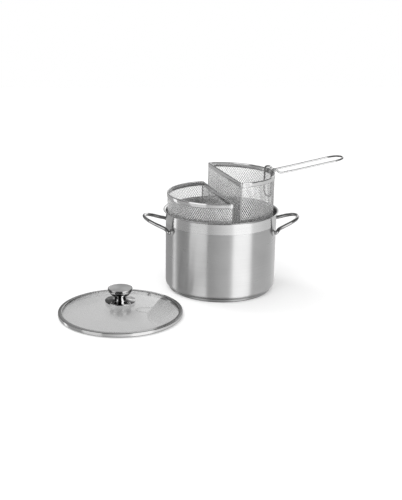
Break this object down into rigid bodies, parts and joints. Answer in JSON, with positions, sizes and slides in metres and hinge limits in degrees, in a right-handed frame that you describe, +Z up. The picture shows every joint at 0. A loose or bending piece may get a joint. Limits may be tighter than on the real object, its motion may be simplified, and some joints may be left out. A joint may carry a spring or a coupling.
{
  "type": "pasta pot",
  "caption": "Steel stock pot with half round mesh draining baskets, a lift off wire basket handle and a domed glass lid with a steel rim and knob.",
  "frame": {"origin": "middle of the pot's base, on the surface it stands on", "axes": "+X to one side handle, +Y to the back, +Z up; the lid lies at the front left, where the picture shows it"},
  "size_m": [0.615, 0.4308, 0.2811],
  "materials": {
    "brushed_body": "fine circular brushing, polished band under the rim",
    "polished_trim": "polished stainless steel",
    "basket_mesh": "bright stainless diamond mesh",
    "core": "plain",
    "lid_pane": "clear tempered glass",
    "gasket": "matt grey silicone"
  },
  "bodies": {
    "pot": {"pot_shell": "brushed_body", "base_cap": "brushed_body", "base_core": "core", "side_handle_right": "polished_trim", "side_handle_left": "polished_trim", "side_handle_right_foot_back": "polished_trim", "side_handle_right_foot_front": "polished_trim", "side_handle_left_foot_back": "polished_trim", "side_handle_left_foot_front": "polished_trim"},
    "lid": {"lid_glass": "lid_pane", "lid_ring": "polished_trim", "vent_eyelet": "polished_trim", "knob_gasket": "gasket", "knob_flange": "polished_trim", "knob_body": "polished_trim", "knob_top": "brushed_body", "knob_washer": "polished_trim", "knob_screw": "polished_trim"},
    "left_basket": {"basket_left_round_wall": "basket_mesh", "basket_left_flat_wall": "basket_mesh", "basket_left_floor": "basket_mesh", "basket_left_rim_band": "polished_trim", "basket_left_base_band": "polished_trim", "basket_left_corner_a": "polished_trim", "basket_left_corner_b": "polished_trim", "basket_left_rivet_a1": "polished_trim", "basket_left_rivet_a2": "polished_trim", "basket_left_rivet_b1": "polished_trim", "basket_left_rivet_b2": "polished_trim"},
    "right_basket": {"basket_right_round_wall": "basket_mesh", "basket_right_flat_wall": "basket_mesh", "basket_right_floor": "basket_mesh", "basket_right_rim_band": "polished_trim", "basket_right_base_band": "polished_trim", "basket_right_corner_a": "polished_trim", "basket_right_corner_b": "polished_trim", "basket_right_rivet_a1": "polished_trim", "basket_right_rivet_a2": "polished_trim", "basket_right_rivet_b1": "polished_trim", "basket_right_rivet_b2": "polished_trim"},
    "basket_handle": {"basket_handle_wire": "polished_trim", "basket_handle_clip": "polished_trim"}
  },
  "joints": [
    {"name": "lid_lift", "type": "slide", "parent": "pot", "child": "lid", "axis": [0, 0, 1], "range_m": [0, 0.25]},
    {"name": "left_basket_lift", "type": "slide", "parent": "pot", "child": "left_basket", "axis": [0, 0, 1], "range_m": [-0.0485, 0.13]},
    {"name": "right_basket_lift", "type": "slide", "parent": "pot", "child": "right_basket", "axis": [0, 0, 1], "range_m": [-0.074, 0.09]},
    {"name": "basket_handle_lift", "type": "slide", "parent": "right_basket", "child": "basket_handle", "axis": [0, 0, 1], "range_m": [0, 0.07]}
  ]
}
